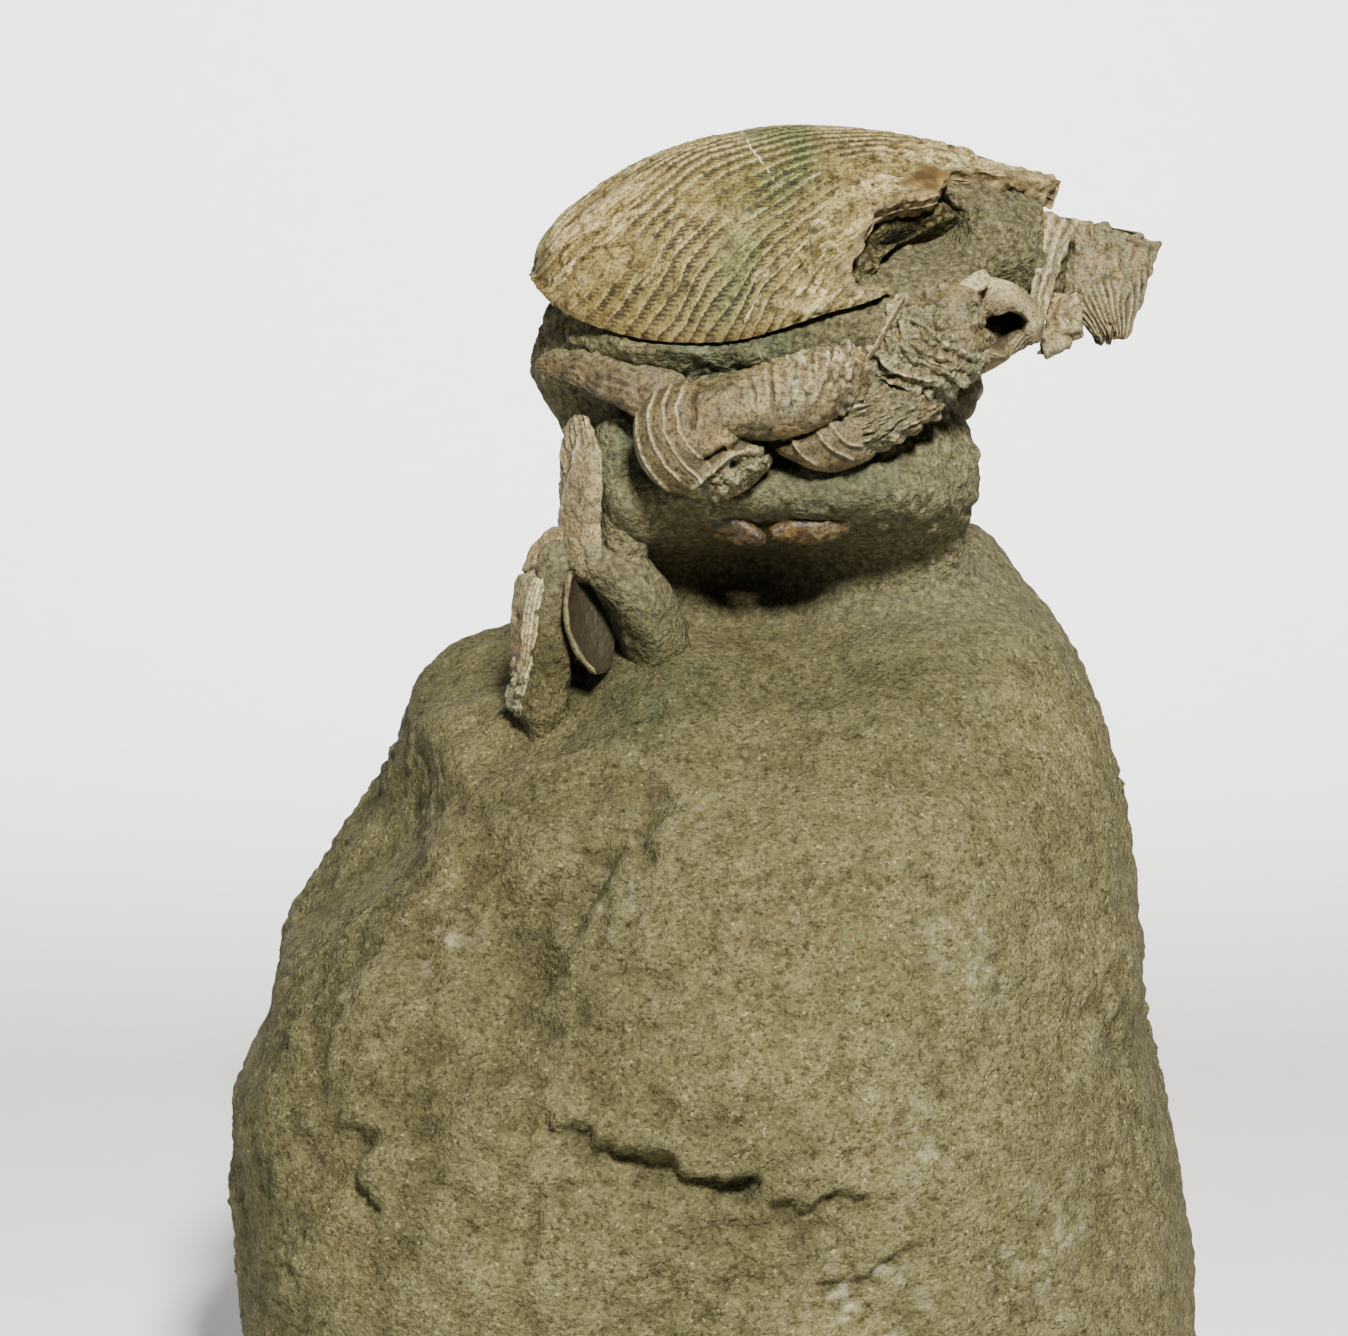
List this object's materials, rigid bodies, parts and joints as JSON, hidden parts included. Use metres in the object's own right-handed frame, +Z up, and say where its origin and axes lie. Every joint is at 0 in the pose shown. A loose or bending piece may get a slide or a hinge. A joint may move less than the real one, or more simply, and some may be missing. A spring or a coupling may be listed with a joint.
{
  "type": "fossil crab on matrix",
  "caption": "Fossil crab with a terraced shell and a folded claw, prepared on a tall block of grey-green sandstone that stands on its flat foot.",
  "frame": {"origin": "middle of the block's flat foot, below the crab", "axes": "+Z up through the carapace, +X towards the crab's broken front end, -Y towards the side with the near claw"},
  "size_m": [0.0977, 0.0779, 0.1283],
  "materials": {
    "stone": "grainy, matt glauconitic sandstone",
    "shell": "fossil shell, terraced, worn to a low sheen",
    "limb_shell": "fossil shell, ridged and chalky",
    "amber_shell": "thin brown fossil shell, slightly glossy"
  },
  "bodies": {
    "root": {"sandstone_block": "stone", "carapace": "shell", "side_plate": "limb_shell", "far_side_plate": "limb_shell", "claw_shoulder": "limb_shell", "claw_socket": "limb_shell", "claw_arm": "limb_shell", "claw_wrist": "limb_shell", "claw_hand": "limb_shell", "far_arm": "limb_shell", "leg_upper": "limb_shell", "leg_lower": "limb_shell", "leg_blade": "limb_shell", "belly_shell_left": "amber_shell", "belly_shell_right": "amber_shell", "front_strip": "limb_shell", "front_lobe": "limb_shell", "front_fan": "limb_shell"}
  },
  "joints": []
}
